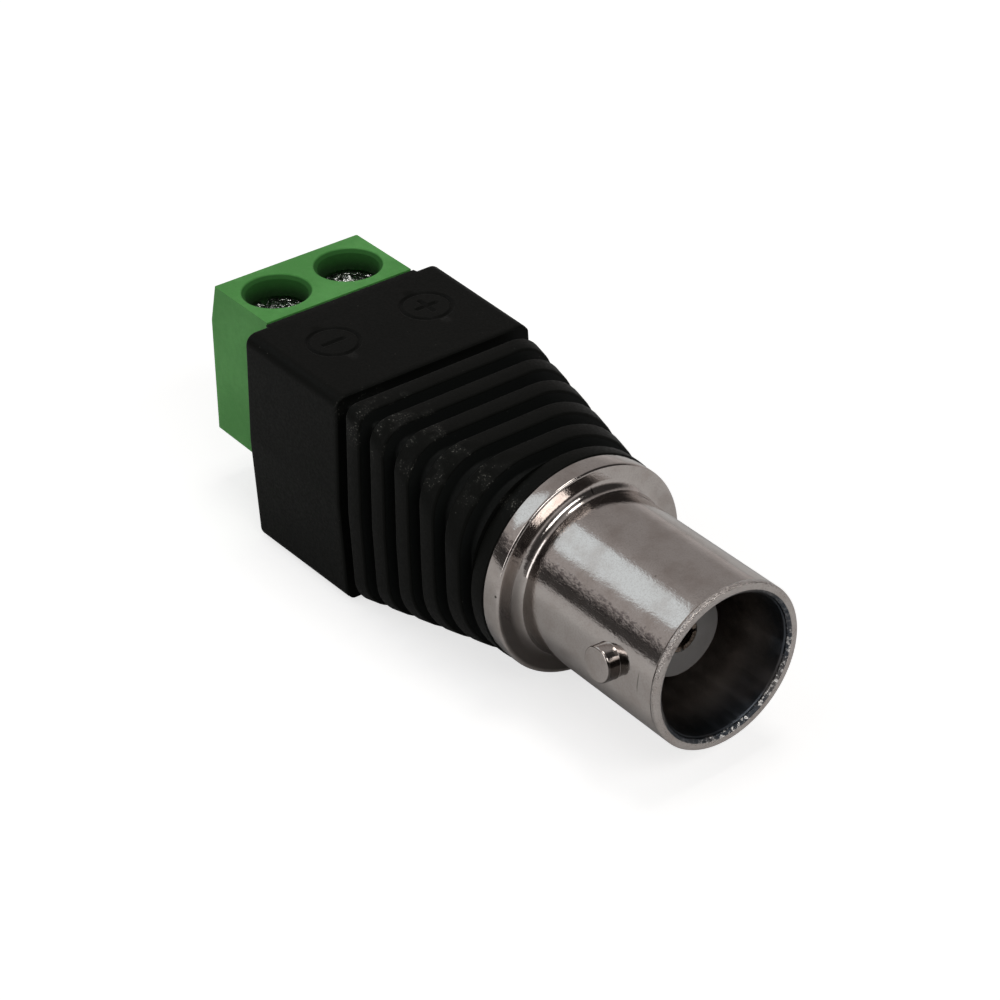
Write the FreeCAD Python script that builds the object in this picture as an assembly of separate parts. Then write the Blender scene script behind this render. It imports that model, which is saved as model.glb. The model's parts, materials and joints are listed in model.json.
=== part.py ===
import FreeCAD, Part
import math
import os

# A bayonet jack with a two-pole screw terminal, held together by one moulded body.
# Frame: the origin is the centre of the jack's mouth, +X points out of the mouth and
# +Z points up through the screw heads. Lengths are millimetres and angles degrees.

# Clearances
mould_gap = 0.03        # moulded plastic to the metal and the housing set in it
seat_gap = 0.05         # pieces that seat inside one another
running_gap = 0.05      # round a turning screw
slide_gap = 0.05        # each side of a sliding cage
stop_gap = 0.10         # end play in the clamp's stack

# Jack shell
barrel_radius = 4.8
barrel_length = 11.0
barrel_edge = 0.2
mouth_bore_radius = 4.075
mouth_bore_chamfer = 0.15
mouth_depth = 8.4
lug_radius = 1.0
lug_tip_height = 0.75       # above the barrel
lug_setback = 3.67          # lug axis behind the mouth
lug_tilt = 6.2              # the jack's lugs are turned this far out of level
flange_radius = 6.2
flange_thickness = 1.2
flange_chamfer = 0.28
flange_fillet = 0.6
fillet_steps = 2
stem_radius = 4.9
stem_length = 6.3
spigot_radius = 3.9
spigot_length = 0.75
counterbore_radius = 3.35
counterbore_depth = 5.75    # from the shell's rear end

# Insulators and centre contact
insulator_setback = 3.45
insulator_radius = 2.375
insulator_collar_length = 2.0
rear_insulator_length = 2.8
contact_radius = 0.95
contact_bore_radius = 0.685
contact_bore_depth = 5.15
contact_slot_width = 0.2
contact_slot_length = 4.0
contact_shoulder_radius = 1.4
contact_shoulder_length = 1.0
contact_tail_radius = 0.75
contact_tail_length = 4.9
solder_cup_depth = 1.6

# Ground tag
tag_thickness = 0.4
tag_tongue_width = 1.6
tag_tongue_length = 4.0
tag_tongue_offset = 4.15    # inner face of the tongue, from the jack's axis

# Moulded body
collar_length = 1.0
collar_step = 0.05          # the collar stands this much above the flange
rib_count = 5
rib_pitch = 2.08
rib_width = 1.13
groove_depth = 0.9
block_length = 8.85
block_half_height = 6.8
block_side_wall = 1.7       # outside the terminal housing, at the top and bottom edges
parting_bulge = 0.25        # extra half width at the parting line, from the mould's draft
block_corner_radius = 0.7
round_corner_start = 1.86   # the rounder pair of the ribs' corners, beside the block
tight_corner_end = 5.35     # the tighter pair, beside the collar
corner_growth = 1.55        # above 1, the tighter pair stays tight near the block
block_edge = 0.2
straight_least = 0.05       # straight part kept beside the roundest corner

# Terminal housing
pole_pitch = 5.0
pocket_depth = 1.3          # how far the housing reaches into the moulded body
roof_lip_depth = 0.28       # the roof over the housing stands past the block's rear face
roof_lip_side = 0.1         # and is this much wider than the housing on each side
roof_thickness = 1.2
housing_top_depth = 7.2     # from the housing's hidden front face to its rear, at the top
housing_knee_depth = 7.9
housing_base_depth = 8.15
knee_drop = 2.5             # the knee in the rear face, below the top
housing_edge = 0.2
divider_wall = 1.1
housing_floor = 0.45
screw_inset = 4.4           # screw axis behind the housing's hidden front face
driver_bore_radius = 1.85
driver_bore_chamfer = 0.25
driver_bore_length = 1.35
rear_wall_gap = 0.1         # cavity's rear wall behind the cage
entry_width = 2.9
entry_height = 2.1
entry_funnel = 0.45
entry_ledge = 0.2           # plastic left under the contact bar at the wire entry

# Clamp: screw, cage and contact bar
screw_head_radius = 2.0
screw_head_height = 1.75
screw_shank_radius = 1.5
recess_radius = 1.3
recess_foot_radius = 0.5
recess_depth = 0.95
recess_width = 0.5
cage_travel = 2.0
cage_length = 3.8
cage_wall = 0.5
cage_top_wall = 0.9
cage_corner_radius = 0.4
bar_thickness = 0.6
bar_side_gap = 0.1
bar_rest_depth = 0.4        # how far the bar's end sits in the housing's rear wall
bar_tail_width = 1.2
bar_tail_length = 3.6
bar_crank_start = 0.6       # straight part of the tail before it cranks down
bar_crank_run = 0.9

# Wires and solder
wire_core_radius = 0.3
wire_sleeve_radius = contact_tail_radius
wire_strip_length = 1.6
solder_length = 1.7
solder_width = 1.1
solder_top_width = 0.7
solder_height = 0.75
solder_collar_length = 0.5
solder_rise = 0.02          # film of solder under the wire

# Places along the axis, from the mouth back
mouth_floor = -mouth_depth
flange_front = -barrel_length
flange_rear = flange_front - flange_thickness
spigot_front = flange_rear - stem_length
shell_rear = spigot_front - spigot_length
counterbore_front = shell_rear + counterbore_depth
insulator_face = -insulator_setback
insulator_joint = counterbore_front - insulator_collar_length
rear_insulator_rear = insulator_joint - rear_insulator_length
shoulder_rear = insulator_joint - contact_shoulder_length
contact_rear = shoulder_rear - contact_tail_length
collar_rear = flange_rear - collar_length
groove_width = rib_pitch - rib_width
block_front = collar_rear - rib_count * rib_pitch - groove_width
block_rear = block_front - block_length
housing_front = block_rear + pocket_depth
roof_rear = block_rear - roof_lip_depth
screw_x = housing_front - screw_inset

# Heights of the clamp's stack, from the top of the housing down
housing_top = block_half_height
driver_bore_foot = housing_top - driver_bore_length
screw_head_top = driver_bore_foot - stop_gap
screw_head_foot = screw_head_top - screw_head_height
cavity_top = screw_head_foot - stop_gap / 2
cage_top = screw_head_foot - stop_gap - cage_travel
bar_top = cage_top - cage_top_wall - stop_gap
bar_foot = bar_top - bar_thickness
screw_tip = bar_top + stop_gap / 2
cage_floor_top = bar_foot - cage_travel - stop_gap / 2
cage_foot = cage_floor_top - cage_wall
cavity_floor = cage_foot - stop_gap
housing_foot = cavity_floor - housing_floor

# Widths across the terminal
housing_half_width = pole_pitch
cavity_half_width = (pole_pitch - divider_wall) / 2
cage_half_width = cavity_half_width - slide_gap
bar_half_width = cage_half_width - cage_wall - bar_side_gap
cavity_rear = screw_x - cage_length / 2 - rear_wall_gap
bar_rear = cavity_rear - bar_rest_depth
minus_pole = -pole_pitch / 2
plus_pole = pole_pitch / 2

# Radii of the seats
collar_radius = flange_radius + collar_step
insulator_bore_radius = insulator_radius + seat_gap
insulator_collar_radius = counterbore_radius - seat_gap
tongue_rear = spigot_front - tag_tongue_length

# Lines of the two wires, which run straight back along X
tail_end = housing_front + bar_tail_length
core_lift = wire_core_radius + solder_rise
signal_line = (0, 0)
ground_line = (core_lift - tag_tongue_offset, 0)
tail_top = -core_lift
poles = (("minus", minus_pole, ground_line), ("plus", plus_pole, signal_line))


def vec(x, y, z):
    return FreeCAD.Vector(x, y, z)


def revolved(profile):
    """Solid turned about the X axis from a closed outline of (x, radius) points."""
    corners = [vec(x, radius, 0) for x, radius in profile]
    outline = Part.makePolygon(corners + corners[:1])
    return Part.Face(outline).revolve(vec(0, 0, 0), vec(1, 0, 0), 360)


def block(x_span, y_span, z_span):
    """Block between the low and high value of each axis."""
    low = vec(x_span[0], y_span[0], z_span[0])
    size = vec(x_span[1], y_span[1], z_span[1]).sub(low)
    return Part.makeBox(size.x, size.y, size.z, low)


def upright(radius, x, y, foot, top):
    """Round rod along Z."""
    return Part.makeCylinder(radius, top - foot, vec(x, y, foot))


def extruded_across(outline, half_width):
    """Prism across Y from a closed outline of (x, z) points."""
    corners = [vec(x, -half_width, z) for x, z in outline]
    face = Part.Face(Part.makePolygon(corners + corners[:1]))
    return face.extrude(vec(0, 2 * half_width, 0))


def flange_fillet_outline():
    """Points (x, radius) of the hollow round between barrel and flange, from the barrel."""
    centre = (flange_front + flange_fillet, barrel_radius + flange_fillet)
    points = []
    for step in range(fillet_steps + 1):
        angle = math.radians(270 - 90 * step / fillet_steps)
        x = centre[0] + flange_fillet * math.cos(angle)
        points.append((x, centre[1] + flange_fillet * math.sin(angle)))
    return points


def lug_pair():
    """The two bayonet lugs."""
    tip = barrel_radius + lug_tip_height
    lugs = Part.makeCylinder(lug_radius, 2 * tip, vec(-lug_setback, -tip, 0), vec(0, 1, 0))
    lugs.rotate(vec(0, 0, 0), vec(1, 0, 0), -lug_tilt)
    return lugs


def jack_shell():
    """Turned shell: barrel with two lugs, flange, stem and a spigot for the ground tag."""
    outside = [(0, barrel_radius - barrel_edge), (-barrel_edge, barrel_radius)]
    outside.extend(flange_fillet_outline())
    outside.append((flange_front, flange_radius - flange_chamfer))
    outside.append((flange_front - flange_chamfer, flange_radius))
    outside.append((flange_rear, flange_radius))
    outside.append((flange_rear, stem_radius))
    outside.append((spigot_front, stem_radius))
    outside.append((spigot_front, spigot_radius))
    outside.append((shell_rear, spigot_radius))
    inside = [(shell_rear, counterbore_radius), (counterbore_front, counterbore_radius)]
    inside.append((counterbore_front, insulator_bore_radius))
    inside.append((mouth_floor, insulator_bore_radius))
    inside.append((mouth_floor, mouth_bore_radius))
    inside.append((-mouth_bore_chamfer, mouth_bore_radius))
    inside.append((0, mouth_bore_radius + mouth_bore_chamfer))
    shell = revolved(outside + inside)
    bore = Part.makeCylinder(mouth_bore_radius, mouth_depth, vec(mouth_floor, 0, 0), vec(1, 0, 0))
    return shell.fuse(lug_pair().cut(bore)).removeSplitter()


def front_insulator():
    """Dielectric tube that stands in the mouth, with a collar held in the counterbore."""
    bore = contact_radius + seat_gap
    return revolved([
        (insulator_face, bore),
        (insulator_face, insulator_radius),
        (counterbore_front - seat_gap, insulator_radius),
        (counterbore_front - seat_gap, insulator_collar_radius),
        (insulator_joint, insulator_collar_radius),
        (insulator_joint, bore),
    ])


def rear_insulator():
    """Dielectric bead that closes the counterbore behind the contact's shoulder."""
    recess = contact_shoulder_radius + seat_gap
    tail_bore = contact_tail_radius + seat_gap
    return revolved([
        (insulator_joint, recess),
        (insulator_joint, insulator_collar_radius),
        (rear_insulator_rear, insulator_collar_radius),
        (rear_insulator_rear, tail_bore),
        (shoulder_rear - seat_gap, tail_bore),
        (shoulder_rear - seat_gap, recess),
    ])


def centre_contact():
    """Slotted socket with a shoulder and a solder cup at its tail."""
    bore_floor = insulator_face - contact_bore_depth
    turned = revolved([
        (insulator_face, contact_bore_radius),
        (insulator_face, contact_radius),
        (insulator_joint, contact_radius),
        (insulator_joint, contact_shoulder_radius),
        (shoulder_rear, contact_shoulder_radius),
        (shoulder_rear, contact_tail_radius),
        (contact_rear, contact_tail_radius),
        (contact_rear, wire_core_radius + seat_gap),
        (contact_rear + solder_cup_depth, wire_core_radius + seat_gap),
        (contact_rear + solder_cup_depth, 0),
        (bore_floor, 0),
        (bore_floor, contact_bore_radius),
    ])
    length = (insulator_face - contact_slot_length, insulator_face)
    half = contact_slot_width / 2
    flat = block(length, (-contact_radius, contact_radius), (-half, half))
    steep = block(length, (-half, half), (-contact_radius, contact_radius))
    return turned.cut(flat.fuse(steep))


def tag_tongue(gap=0.0):
    """Tongue that stands back from the tag's ring, beside the jack's axis."""
    half = tag_tongue_width / 2 + gap
    return block(
        (tongue_rear - gap, spigot_front + gap),
        (-tag_tongue_offset - tag_thickness - gap, -tag_tongue_offset + gap),
        (ground_line[1] - half, ground_line[1] + half),
    )


def ground_tag():
    """Tag on the shell's spigot, with a tongue that the ground wire is soldered to."""
    tag_rear = spigot_front - tag_thickness
    ring = revolved([
        (spigot_front, spigot_radius + seat_gap),
        (spigot_front, stem_radius),
        (tag_rear, stem_radius),
        (tag_rear, spigot_radius + seat_gap),
    ])
    return ring.fuse(tag_tongue()).removeSplitter()


def blend(start, end, share):
    return start + (end - start) * share


def corner_radii(ribbed):
    """Radii of the tighter and the rounder pair of corners, a share of the way along
    the ribs. Corners that face each other across the axis are alike."""
    tight = blend(block_corner_radius, tight_corner_end, ribbed ** corner_growth)
    if ribbed > 0:
        return tight, blend(round_corner_start, collar_radius, ribbed)
    return tight, tight


def corner_arc(width, height, bulge, corner):
    """Start, middle and end of a corner's arc as (y, z), from the side to the top. It
    touches the flat top and the drafted side."""
    slant = math.hypot(height, bulge)
    centre_z = height - corner
    centre_y = width + bulge - (corner * slant + bulge * centre_z) / height
    side_angle = math.atan2(bulge, height)
    angles = (side_angle, (side_angle + math.pi / 2) / 2, math.pi / 2)
    return [(centre_y + corner * math.cos(angle), centre_z + corner * math.sin(angle))
            for angle in angles]


def section(x, inset=0.0):
    """Outline of the moulded body across the axis at x: a rounded square that turns
    into a circle towards the jack, with sides that peak at the parting line."""
    ribbed = min(max((x - block_front) / (collar_rear - block_front), 0), 1)
    height = blend(block_half_height, collar_radius, ribbed) - inset
    width = blend(housing_half_width + block_side_wall, collar_radius, ribbed) - inset
    bulge = blend(parting_bulge, 0, ribbed)
    arcs = []
    for corner in corner_radii(ribbed):
        corner = max(corner - inset, straight_least)
        corner = min(corner, height - straight_least, width - straight_least)
        arcs.append(corner_arc(width, height, bulge, corner))
    tight_arc, round_arc = arcs

    def at(point, y_sign, z_sign):
        return vec(x, y_sign * point[0], z_sign * point[1])

    edges = []
    for sign in (1, -1):
        waists = [at((width + bulge, 0), sign, sign), at((width + bulge, 0), -sign, sign)]
        rounder = [at(point, sign, sign) for point in round_arc]
        tighter = [at(point, -sign, sign) for point in tight_arc[::-1]]
        edges.append(Part.LineSegment(waists[0], rounder[0]))
        edges.append(Part.Arc(*rounder))
        edges.append(Part.LineSegment(rounder[-1], tighter[0]))
        edges.append(Part.Arc(*tighter))
        edges.append(Part.LineSegment(tighter[-1], waists[1]))
    return Part.Wire([edge.toShape() for edge in edges])


def prism(middle, rear, front, inset=0.0):
    """Straight piece of the body from rear to front, with the outline it has at middle."""
    outline = section(middle, inset)
    outline.translate(vec(rear - middle, 0, 0))
    return Part.Face(outline).extrude(vec(front - rear, 0, 0))


def edges_across(solid):
    """Edges that lie in planes across the axis."""
    found = []
    for edge in solid.Edges:
        stations = [vertex.X for vertex in edge.Vertexes]
        if max(stations) - min(stations) < 1e-6:
            found.append(edge)
    return found


def moulded_envelope():
    """The moulded body before its pockets: block, ribs on a tapering core, collar."""
    solid = prism(block_rear, block_rear, block_front)
    solid = solid.makeChamfer(block_edge, edges_across(solid))
    parts = []
    for index in range(rib_count):
        rear = block_front + groove_width + index * rib_pitch
        front = rear + rib_width
        parts.append(prism((rear + front) / 2, rear, front))
    for index in range(rib_count + 1):
        groove_rear = block_front + index * rib_pitch
        groove_front = groove_rear + groove_width
        parts.append(prism(
            (groove_rear + groove_front) / 2,
            groove_rear - rib_width / 2,
            groove_front + rib_width / 2,
            groove_depth,
        ))
    parts.append(Part.makeCylinder(collar_radius, collar_length, vec(collar_rear, 0, 0), vec(1, 0, 0)))
    parts.append(block(
        (roof_rear, block_rear + block_edge),
        (-housing_half_width - roof_lip_side, housing_half_width + roof_lip_side),
        (housing_top - roof_thickness, housing_top),
    ))
    return solid.multiFuse(parts).removeSplitter()


def stem_space(gap):
    """Room for the jack's stem, tag and spigot and for the contact's tail and its wire."""
    tag_rear = spigot_front - tag_thickness - gap
    return revolved([
        (flange_rear, 0),
        (flange_rear, stem_radius + gap),
        (tag_rear, stem_radius + gap),
        (tag_rear, spigot_radius + gap),
        (shell_rear - gap, spigot_radius + gap),
        (shell_rear - gap, contact_tail_radius + gap),
        (tail_end, contact_tail_radius + gap),
        (tail_end, 0),
    ])


def housing_outline(gap=0.0):
    """Side view of the terminal housing as (x, z) points, grown by gap."""
    return [
        (housing_front - housing_top_depth - gap, housing_top + gap),
        (housing_front - housing_knee_depth - gap, housing_top - knee_drop),
        (housing_front - housing_base_depth - gap, housing_foot - gap),
        (housing_front + gap, housing_foot - gap),
        (housing_front + gap, housing_top - roof_thickness + gap),
        (roof_rear - mould_gap + gap, housing_top - roof_thickness + gap),
        (roof_rear - mould_gap + gap, housing_top + gap),
    ]


def rectangle(half_length, half_width, height):
    """Level rectangle round the Z axis, at a height."""
    corners = [
        vec(-half_length, -half_width, height),
        vec(half_length, -half_width, height),
        vec(half_length, half_width, height),
        vec(-half_length, half_width, height),
    ]
    return Part.makePolygon(corners + corners[:1])


def wire_line(name):
    """Sleeve's front and rear end, and how far the core is bare past the front."""
    if name == "signal":
        front = contact_rear - solder_collar_length - seat_gap
        return signal_line, front, solder_collar_length + solder_cup_depth
    return ground_line, tongue_rear - seat_gap, wire_strip_length


def along_x(radius, line, rear, front):
    """Round rod along X on a line given by its (y, z)."""
    return Part.makeCylinder(radius, front - rear, vec(rear, *line), vec(1, 0, 0))


def wire_core(name, gap=0.0):
    """Copper core, bare at both ends."""
    line, front, bare = wire_line(name)
    rear = tail_end + seat_gap - wire_strip_length
    return along_x(wire_core_radius + gap, line, rear - gap, front + bare + gap)


def sleeve_envelope(name, gap=0.0):
    """Outside of a wire's sleeve, grown by gap."""
    line, front, bare = wire_line(name)
    return along_x(wire_sleeve_radius + gap, line, tail_end + seat_gap - gap, front + gap)


def wire_sleeve(name):
    """Plastic sleeve round the core, cut back for soldering."""
    return sleeve_envelope(name).cut(wire_core(name, seat_gap))


def solder_joint(rear, gap=0.0):
    """Solder with sloping sides, standing on the plane z = 0 in front of x = rear."""
    foot = solder_width / 2 + gap
    top = solder_top_width / 2 + gap
    height = solder_height + gap
    corners = [
        vec(rear - gap, -foot, -gap),
        vec(rear - gap, foot, -gap),
        vec(rear - gap, top, height),
        vec(rear - gap, -top, height),
    ]
    outline = Part.makePolygon(corners + corners[:1])
    return Part.Face(outline).extrude(vec(solder_length + 2 * gap, 0, 0))


def solder_on_bar(line, gap=0.0):
    """Solder on a contact bar's tail, round a wire's bare end."""
    joint = solder_joint(tail_end - solder_length, gap)
    joint.translate(vec(0, line[0], tail_top))
    return joint


def solder_on_tag(gap=0.0):
    """Solder on the inner face of the ground tag's tongue."""
    joint = solder_joint(tongue_rear, gap)
    joint.rotate(vec(0, 0, 0), vec(1, 0, 0), -90)
    joint.translate(vec(0, -tag_tongue_offset, ground_line[1]))
    return joint


def solder_on_cup():
    """Collar of solder behind the contact's cup, round the signal wire."""
    rear = contact_rear - solder_collar_length
    collar = along_x(contact_tail_radius, signal_line, rear, contact_rear)
    return collar.cut(wire_core("signal", mould_gap))


def overmould_body():
    """Moulded body: envelope less the room for every piece that is set in it."""
    spaces = [stem_space(mould_gap), tag_tongue(mould_gap)]
    spaces.append(extruded_across(housing_outline(mould_gap), housing_half_width + mould_gap))
    spaces.append(sleeve_envelope("ground", mould_gap))
    spaces.append(solder_on_tag(mould_gap))
    for name, pole, line in poles:
        spaces.append(bar_tail(pole, line, mould_gap))
        spaces.append(solder_on_bar(line, mould_gap))
    body = moulded_envelope()
    for space in spaces:
        body = body.cut(space)
    return body


def bar_tail(pole, line, gap=0.0):
    """Flat tail of a contact bar, cranked down to the wire that it carries."""
    crank = housing_front + bar_crank_start
    level = crank + bar_crank_run
    outline = [
        (housing_front, bar_top + gap),
        (crank + gap, bar_top + gap),
        (level + gap, tail_top + gap),
        (tail_end + gap, tail_top + gap),
        (tail_end + gap, tail_top - bar_thickness - gap),
        (level - gap, tail_top - bar_thickness - gap),
        (crank - gap, bar_foot - gap),
        (housing_front, bar_foot - gap),
    ]
    half_width = (abs(pole - line[0]) + bar_tail_width) / 2
    tail = extruded_across(outline, half_width + gap)
    tail.translate(vec(0, (pole + line[0]) / 2, 0))
    return tail


def contact_bar(pole, line):
    """Bar that the clamp presses on, with a plate that closes the housing's window."""
    plate_rear = housing_front - bar_thickness
    bar = block(
        (bar_rear + seat_gap, housing_front),
        (pole - bar_half_width, pole + bar_half_width),
        (bar_foot, bar_top),
    )
    half = cavity_half_width - seat_gap
    plate = block(
        (plate_rear, housing_front),
        (pole - half, pole + half),
        (cavity_floor + seat_gap, cavity_top - seat_gap),
    )
    return bar.multiFuse([plate, bar_tail(pole, line)]).removeSplitter()


def wire_entry(pole):
    """Way in for a wire under the contact bar, with a funnel at the rear face."""
    entry_top = bar_foot - seat_gap - entry_ledge
    middle = entry_top - entry_height / 2
    base_rear = housing_front - housing_base_depth
    throat = block(
        (base_rear - 1, cavity_rear),
        (pole - entry_width / 2, pole + entry_width / 2),
        (entry_top - entry_height, entry_top),
    )
    mouth = rectangle(entry_height / 2 + entry_funnel, entry_width / 2 + entry_funnel, 0)
    neck = rectangle(entry_height / 2, entry_width / 2, entry_funnel)
    funnel = Part.makeLoft([mouth, neck], True, True)
    funnel.rotate(vec(0, 0, 0), vec(0, 1, 0), 90)
    funnel.translate(vec(base_rear, pole, middle))
    return throat.fuse(funnel)


def pole_space(pole):
    """Everything that is open in the housing at one pole."""
    cavity = block(
        (cavity_rear, housing_front),
        (pole - cavity_half_width, pole + cavity_half_width),
        (cavity_floor, cavity_top),
    )
    bar_slot = block(
        (bar_rear, cavity_rear),
        (pole - bar_half_width - seat_gap, pole + bar_half_width + seat_gap),
        (bar_foot - seat_gap, bar_top + seat_gap),
    )
    chamber_radius = screw_head_radius + running_gap
    chamber = upright(chamber_radius, screw_x, pole, cavity_top, driver_bore_foot)
    driver_bore = upright(driver_bore_radius, screw_x, pole, driver_bore_foot, housing_top)
    chamfer = Part.makeCone(
        driver_bore_radius,
        driver_bore_radius + driver_bore_chamfer,
        driver_bore_chamfer,
        vec(screw_x, pole, housing_top - driver_bore_chamfer),
    )
    return cavity.multiFuse([bar_slot, chamber, driver_bore, chamfer, wire_entry(pole)])


def terminal_housing():
    """Two-pole housing with a cavity, a driver bore and a wire entry at each pole."""
    housing = extruded_across(housing_outline(), housing_half_width)
    rear_corners = []
    for edge in housing.Edges:
        middle = edge.CenterOfMass
        if middle.x < screw_x and abs(abs(middle.y) - housing_half_width) < 1e-6:
            if abs(edge.Vertexes[0].Z - edge.Vertexes[-1].Z) > 1e-6:
                rear_corners.append(edge)
        if abs(middle.z - housing_top) < 1e-6 and middle.x < screw_x - housing_edge:
            if abs(edge.Vertexes[0].X - edge.Vertexes[-1].X) < 1e-6:
                rear_corners.append(edge)
    housing = housing.makeFillet(housing_edge, rear_corners)
    for pole in (minus_pole, plus_pole):
        housing = housing.cut(pole_space(pole))
    return housing.removeSplitter()


def cross_recess(pole):
    """Tapered cross for the screwdriver."""
    foot = screw_head_top - recess_depth
    cone = Part.makeCone(recess_foot_radius, recess_radius, recess_depth, vec(screw_x, pole, foot))
    half = recess_width / 2
    along = block(
        (screw_x - recess_radius, screw_x + recess_radius),
        (pole - half, pole + half),
        (foot, screw_head_top),
    )
    across = block(
        (screw_x - half, screw_x + half),
        (pole - recess_radius, pole + recess_radius),
        (foot, screw_head_top),
    )
    return cone.common(along.fuse(across))


def clamp_screw(pole):
    """Captive screw: round head with a cross recess, on a plain shank."""
    head = upright(screw_head_radius, screw_x, pole, screw_head_foot, screw_head_top)
    shank = upright(screw_shank_radius, screw_x, pole, screw_tip, screw_head_foot)
    return head.fuse(shank).cut(cross_recess(pole))


def clamp_cage(pole):
    """Bent cage that the screw draws up, at rest in its open position."""
    half = cage_length / 2
    outside = block(
        (screw_x - half, screw_x + half),
        (pole - cage_half_width, pole + cage_half_width),
        (cage_foot, cage_top),
    )
    long_edges = [edge for edge in outside.Edges if abs(edge.Length - cage_length) < 1e-6
                  and abs(edge.Vertexes[0].X - edge.Vertexes[-1].X) > 1e-6]
    outside = outside.makeFillet(cage_corner_radius, long_edges)
    inner_half = cage_half_width - cage_wall
    window = block(
        (screw_x - cage_length, screw_x + cage_length),
        (pole - inner_half, pole + inner_half),
        (cage_floor_top, cage_top - cage_top_wall),
    )
    hole = upright(screw_shank_radius + running_gap, screw_x, pole, cage_floor_top, cage_top + 1)
    return outside.cut(window).cut(hole)


def save(name, shape):
    shape.exportStep("parts/" + name + ".step")
    box = shape.BoundBox
    print(name, shape.isValid(), len(shape.Solids), round(shape.Volume, 2),
          [round(value, 2) for value in (box.XMin, box.XMax, box.YMin, box.YMax, box.ZMin, box.ZMax)])


os.makedirs("parts", exist_ok=True)
save("overmould_body", overmould_body())
save("terminal_housing", terminal_housing())
save("jack_shell", jack_shell())
save("front_insulator", front_insulator())
save("rear_insulator", rear_insulator())
save("centre_contact", centre_contact())
save("ground_tag", ground_tag())
for pole_name, pole, line in poles:
    save("clamp_screw_" + pole_name, clamp_screw(pole))
    save("clamp_cage_" + pole_name, clamp_cage(pole))
    save("contact_bar_" + pole_name, contact_bar(pole, line))
for name, line in (("signal", signal_line), ("ground", ground_line)):
    save(name + "_wire_core", wire_core(name))
    save(name + "_wire_sleeve", wire_sleeve(name))
    save(name + "_solder_terminal", solder_on_bar(line).cut(wire_core(name, mould_gap)))
save("ground_solder_tag", solder_on_tag().cut(wire_core("ground", mould_gap)))
save("signal_solder_contact", solder_on_cup())
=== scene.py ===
import json
import math
import random

import bmesh
import bpy
from mathutils import Matrix, Vector


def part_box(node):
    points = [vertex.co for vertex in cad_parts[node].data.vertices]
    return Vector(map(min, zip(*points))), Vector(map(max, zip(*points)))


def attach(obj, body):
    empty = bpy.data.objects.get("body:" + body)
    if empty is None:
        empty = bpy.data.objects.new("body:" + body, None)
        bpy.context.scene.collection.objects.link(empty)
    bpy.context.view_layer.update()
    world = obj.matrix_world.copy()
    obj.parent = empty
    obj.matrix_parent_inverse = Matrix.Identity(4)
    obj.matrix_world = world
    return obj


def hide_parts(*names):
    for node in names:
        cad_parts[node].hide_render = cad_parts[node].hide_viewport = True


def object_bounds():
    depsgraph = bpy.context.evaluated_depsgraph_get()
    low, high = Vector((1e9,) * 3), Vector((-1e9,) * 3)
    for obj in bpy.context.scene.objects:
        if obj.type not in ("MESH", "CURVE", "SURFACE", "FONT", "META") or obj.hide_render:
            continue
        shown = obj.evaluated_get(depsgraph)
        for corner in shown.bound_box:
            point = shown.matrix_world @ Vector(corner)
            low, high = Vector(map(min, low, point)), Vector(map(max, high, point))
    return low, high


# Looks of the bayonet jack with screw terminals. Lengths are metres, in the part's own frame:
# the origin is the centre of the jack's mouth, +X points out of it and +Z up through the screws.

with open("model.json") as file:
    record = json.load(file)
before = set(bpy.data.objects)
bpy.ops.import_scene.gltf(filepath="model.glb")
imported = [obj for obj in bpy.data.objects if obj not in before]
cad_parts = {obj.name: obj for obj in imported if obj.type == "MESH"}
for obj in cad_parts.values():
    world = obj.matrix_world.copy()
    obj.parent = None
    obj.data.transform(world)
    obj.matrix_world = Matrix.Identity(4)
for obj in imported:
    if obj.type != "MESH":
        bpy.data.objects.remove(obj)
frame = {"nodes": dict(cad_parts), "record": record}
cad_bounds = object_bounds()
mm = 0.001

# Places read from the frame
shell_low, shell_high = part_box("jack_shell")
body_low, body_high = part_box("overmould_body")
housing_low, housing_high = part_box("terminal_housing")
screw_low, screw_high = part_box("clamp_screw_minus")

# Jack shell
barrel_radius = 4.8 * mm
barrel_length = 11.0 * mm
barrel_round = 0.12 * mm
barrel_step = 1.0 * mm
bore_radius = 4.075 * mm
bore_depth = 8.4 * mm
bore_chamfer = 0.26 * mm
lip_run = 0.05 * mm
lip_break = 0.01 * mm
lip_jitter = 0.03 * mm
lug_radius = 1.0 * mm
lug_tip = 5.55 * mm
lug_setback = 3.67 * mm
lug_tilt = math.radians(-6.2)
lug_round = 0.12 * mm
lug_foot_round = 0.03 * mm
lug_crown_share = 0.4
lug_overlap = 0.004 * mm
lug_segments = 48
flange_radius = shell_high.z
flange_rear = -12.2 * mm
flange_front_round = 0.16 * mm
flange_rear_round = 0.08 * mm
flange_fillet = 0.6 * mm
stem_radius = 4.9 * mm
stem_rear = -18.5 * mm
spigot_radius = 3.9 * mm
web_bore_radius = 2.425 * mm
counterbore_radius = 3.35 * mm
counterbore_front = -13.5 * mm
turned_segments = 192
shell_crease = math.radians(40)
handling_marks = (
    # centre, reach each way, depth of tone: a nick by the flange, a dot on its rim, a scratch
    (Vector((-10.95, 0.06, 4.95)) * mm, Vector((0.3, 0.06, 0.4)) * mm, 0.9),
    (Vector((-11.16, -6.13, 0.90)) * mm, Vector((0.1, 0.1, 0.1)) * mm, 0.9),
    (Vector((-1.33, -4.72, 0.54)) * mm, Vector((0.05, 0.4, 0.8)) * mm, 0.5),
)

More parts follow.
